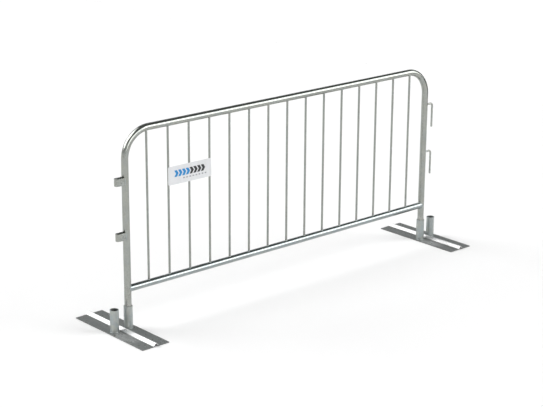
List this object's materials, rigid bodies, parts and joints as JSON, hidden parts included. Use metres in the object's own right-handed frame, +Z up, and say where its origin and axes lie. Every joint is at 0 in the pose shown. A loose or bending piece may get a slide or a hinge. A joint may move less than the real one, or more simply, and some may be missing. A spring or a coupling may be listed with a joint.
{
  "type": "crowd control barrier",
  "caption": "Interlocking crowd control barrier: bent tube panel with upright infill bars, coupling hooks and loops, a small sign and loose flat feet with tube sockets.",
  "frame": {"origin": "on the ground, midway between the legs, in the plane of the panel", "axes": "+X along the panel towards the hooks (the loops are at -X), +Y across the panel away from the sign, +Z up"},
  "size_m": [2.528, 0.6, 1.104],
  "materials": {
    "frame_steel": "hot-dip galvanised, semi-gloss",
    "rail_steel": "hot-dip galvanised, semi-gloss",
    "bar_steel": "hot-dip galvanised, semi-gloss",
    "loop_steel": "hot-dip galvanised",
    "hook_steel": "hot-dip galvanised",
    "sign_sheet": "white coated sheet, satin",
    "foot_steel": "hot-dip galvanised, worn",
    "socket_steel": "hot-dip galvanised, semi-gloss",
    "weld_metal": "galvanised weld bead"
  },
  "bodies": {
    "left_foot": {"left_foot_plate": "foot_steel", "left_outer_socket": "socket_steel", "left_outer_socket_weld": "weld_metal"},
    "left_socket": {"left_inner_socket": "socket_steel", "left_inner_socket_weld": "weld_metal"},
    "panel": {"frame_tube": "frame_steel", "bottom_rail": "rail_steel", "infill_bar_01": "bar_steel", "infill_bar_02": "bar_steel", "infill_bar_03": "bar_steel", "infill_bar_04": "bar_steel", "infill_bar_05": "bar_steel", "infill_bar_06": "bar_steel", "infill_bar_07": "bar_steel", "infill_bar_08": "bar_steel", "infill_bar_09": "bar_steel", "infill_bar_10": "bar_steel", "infill_bar_11": "bar_steel", "infill_bar_12": "bar_steel", "infill_bar_13": "bar_steel", "infill_bar_14": "bar_steel", "infill_bar_15": "bar_steel", "upper_loop": "loop_steel", "lower_loop": "loop_steel", "upper_hook": "hook_steel", "lower_hook": "hook_steel", "sign_plate": "sign_sheet", "sign_welds": "weld_metal"},
    "right_socket": {"right_inner_socket": "socket_steel", "right_inner_socket_weld": "weld_metal"},
    "right_foot": {"right_foot_plate": "foot_steel", "right_outer_socket": "socket_steel", "right_outer_socket_weld": "weld_metal"}
  },
  "joints": [
    {"name": "left_foot_swivel", "type": "hinge", "parent": "left_foot", "child": "left_socket", "pos_m": [-1.131, 0, 0], "axis": [0, 0, 1], "continuous": true},
    {"name": "panel_lift", "type": "slide", "parent": "left_socket", "child": "panel", "axis": [0, 0, 1], "range_m": [0, 0.14]},
    {"name": "right_socket_drop", "type": "slide", "parent": "panel", "child": "right_socket", "axis": [0, 0, -1], "range_m": [0, 0.14]},
    {"name": "right_foot_swivel", "type": "hinge", "parent": "right_socket", "child": "right_foot", "pos_m": [1.131, 0, 0], "axis": [0, 0, 1], "continuous": true}
  ],
  "couplings": [
    {"joint": "right_socket_drop", "follows": "panel_lift", "ratio": 1}
  ]
}
